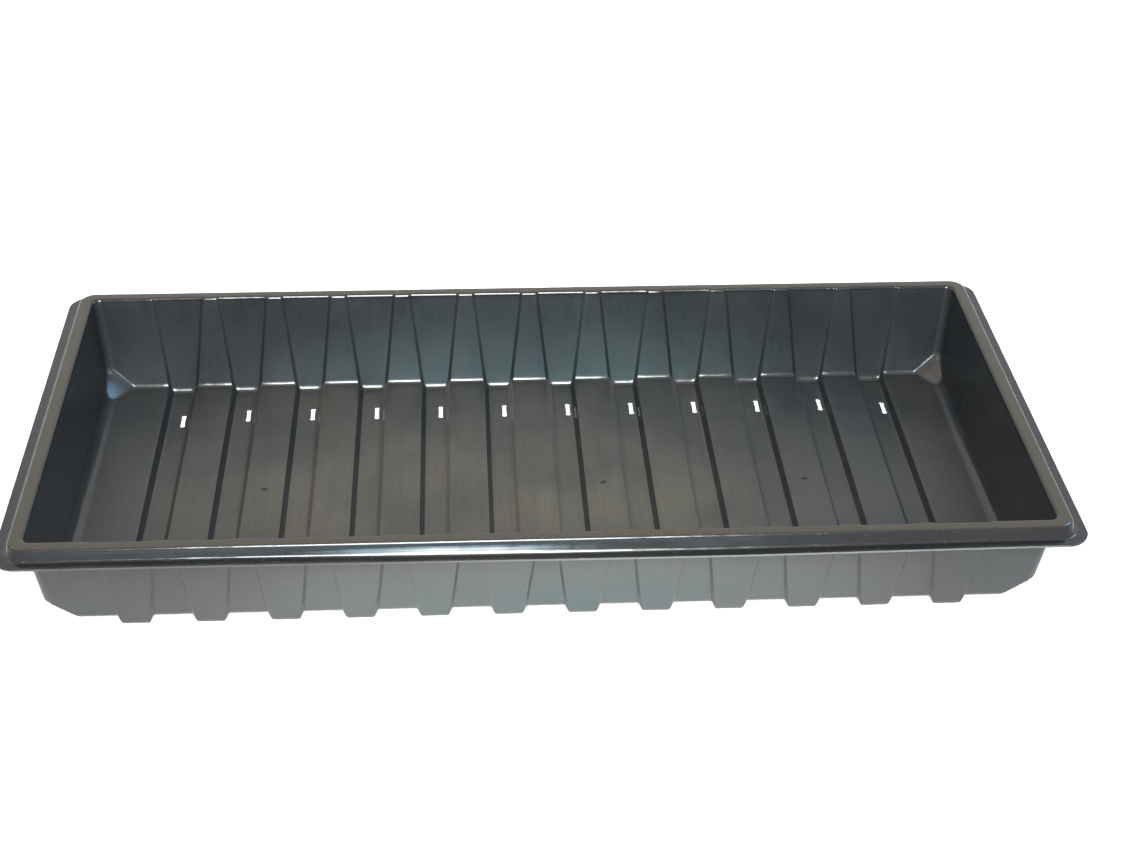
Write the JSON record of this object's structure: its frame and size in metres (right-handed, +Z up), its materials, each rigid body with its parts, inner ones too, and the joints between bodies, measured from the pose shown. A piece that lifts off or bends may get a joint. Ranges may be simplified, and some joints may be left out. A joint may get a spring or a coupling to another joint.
{
  "type": "seed tray",
  "caption": "Long shallow vacuum-formed seed tray with a stepped rim, cross grooves that stand below the floor as feet, fluted long walls and drain slots.",
  "frame": {"origin": "middle of the tray's outline at bench level, in the plane of the feet", "axes": "+X along the tray's length, +Y across it towards the back wall, +Z up out of the open mouth"},
  "size_m": [0.545, 0.278, 0.06],
  "materials": {
    "black_plastic": "semi-gloss black sheet with fine drawn streaks, dulled on the floor"
  },
  "bodies": {
    "root": {"tray_shell": "black_plastic"}
  },
  "joints": []
}
